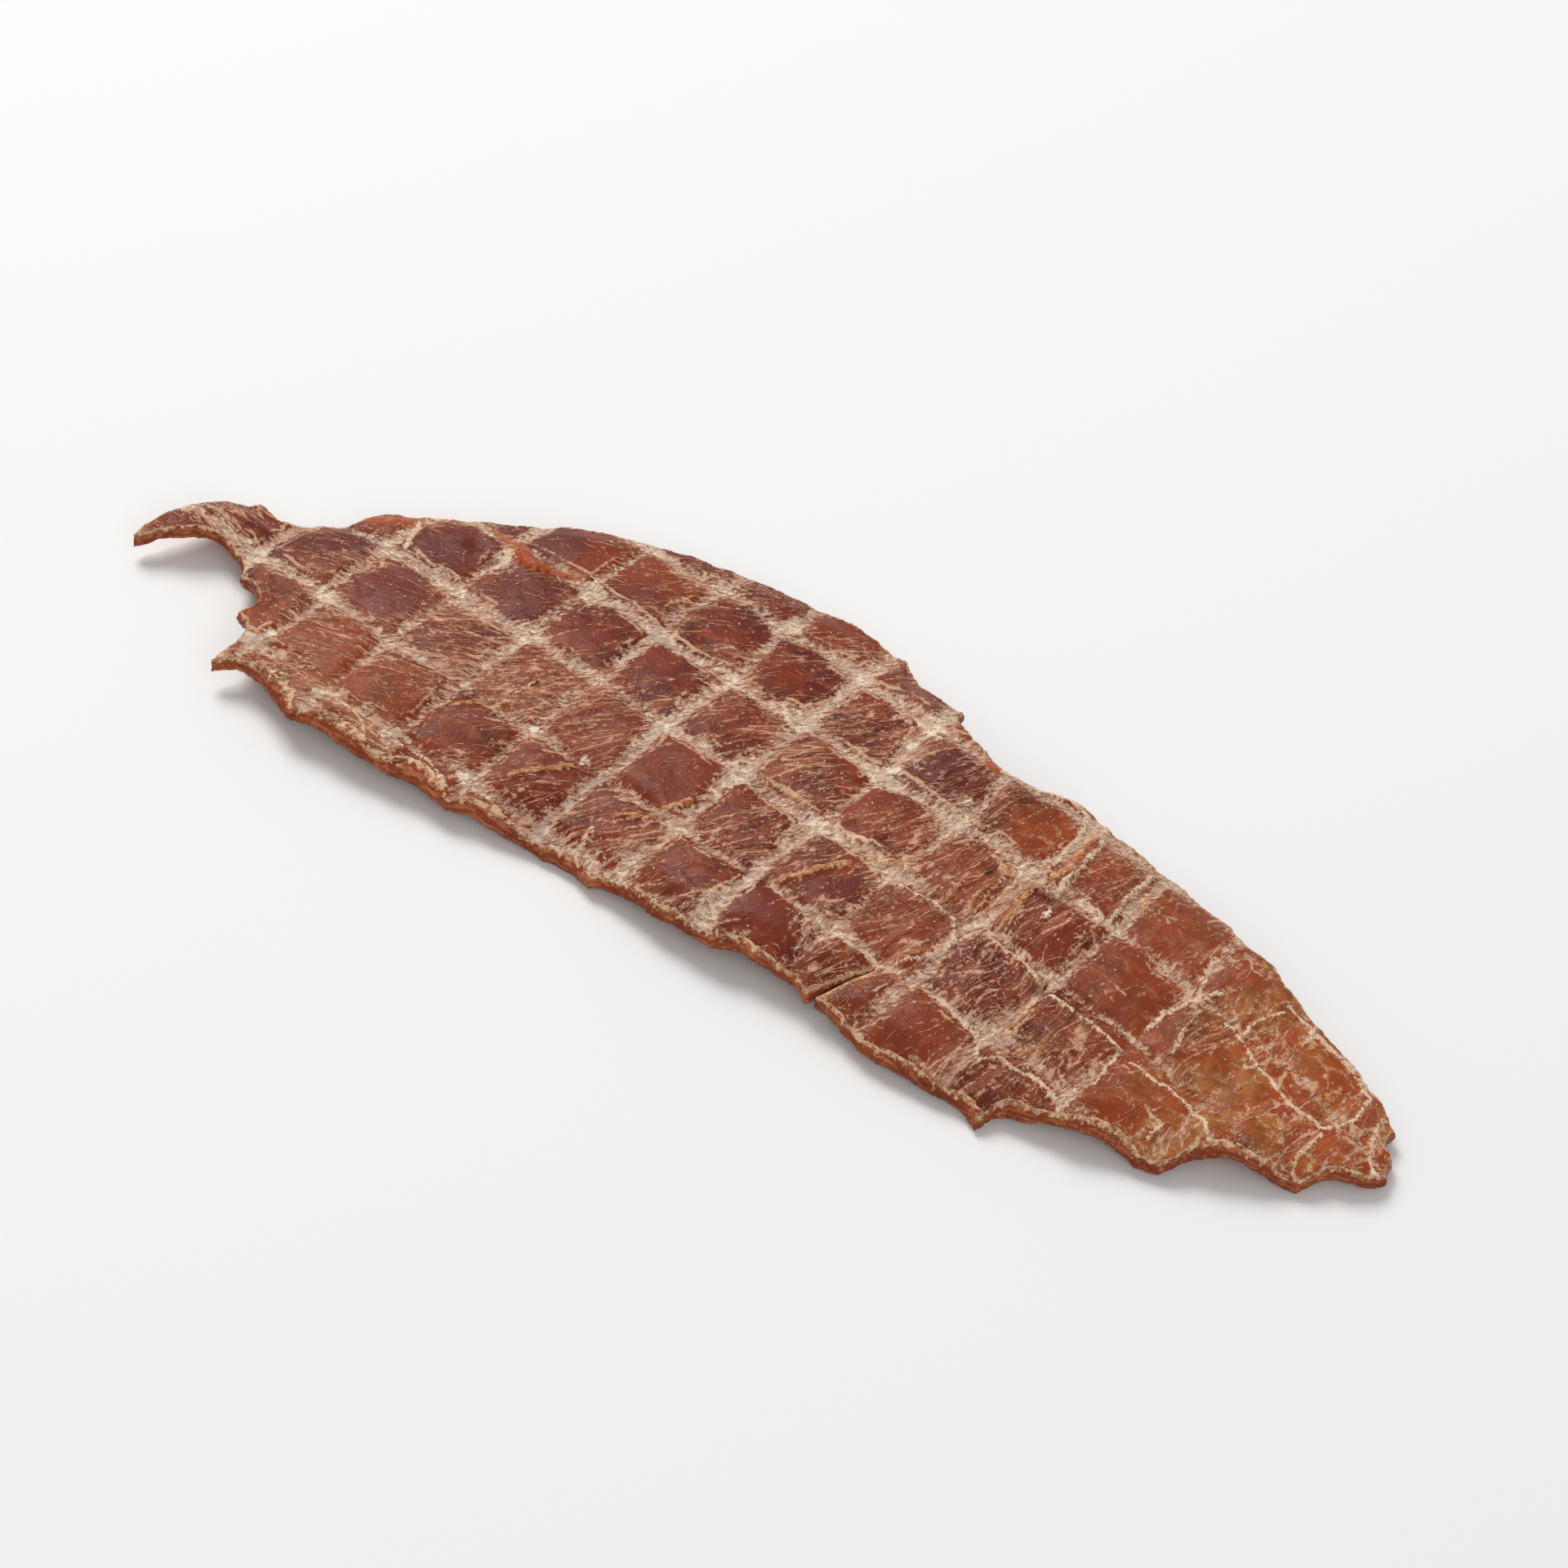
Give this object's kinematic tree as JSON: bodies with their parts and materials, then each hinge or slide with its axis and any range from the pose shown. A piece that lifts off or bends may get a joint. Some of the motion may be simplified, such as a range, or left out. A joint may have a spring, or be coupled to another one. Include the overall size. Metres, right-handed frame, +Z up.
{
  "type": "duck breast jerky slice",
  "caption": "Thin dried slice of duck breast with a torn leaf-shaped outline, a wavy edge and the square imprint of a drying rack on its upper face.",
  "frame": {"origin": "centre of the bounding box at the level the slice lies on", "axes": "+X along the slice towards its narrow end, +Z up through its thickness, imprinted face up"},
  "size_m": [0.1522, 0.0518, 0.0064],
  "materials": {
    "jerky_meat": "dried red-brown meat, half glossy, with pale matte fibres along the pressed grid"
  },
  "bodies": {
    "root": {"jerky_slice": "jerky_meat"}
  },
  "joints": []
}
